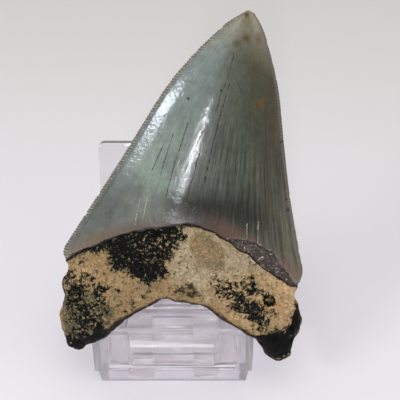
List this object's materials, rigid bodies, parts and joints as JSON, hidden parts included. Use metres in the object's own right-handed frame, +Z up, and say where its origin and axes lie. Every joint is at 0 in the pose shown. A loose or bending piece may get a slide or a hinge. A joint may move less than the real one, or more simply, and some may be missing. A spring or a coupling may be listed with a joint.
{
  "type": "fossil megalodon tooth on display stand",
  "caption": "Fossil shark tooth with a finely serrated crown and a worn, pitted root, leaning on a clear ledge stand with a tall back panel.",
  "frame": {"origin": "on the ground under the middle of the bounding box of tooth and stand", "axes": "+Z up, -Y towards the viewer of the tooth's front, +X to that viewer's right"},
  "size_m": [0.067, 0.0514, 0.1017],
  "materials": {
    "fossil": "glossy grey-green enamel over a matt tan and black root",
    "clear_moulding": "clear, polished moulding",
    "clear_sheet": "clear, polished sheet"
  },
  "bodies": {
    "root": {"tooth": "fossil", "stand_base": "clear_moulding", "back_panel": "clear_sheet"}
  },
  "joints": []
}
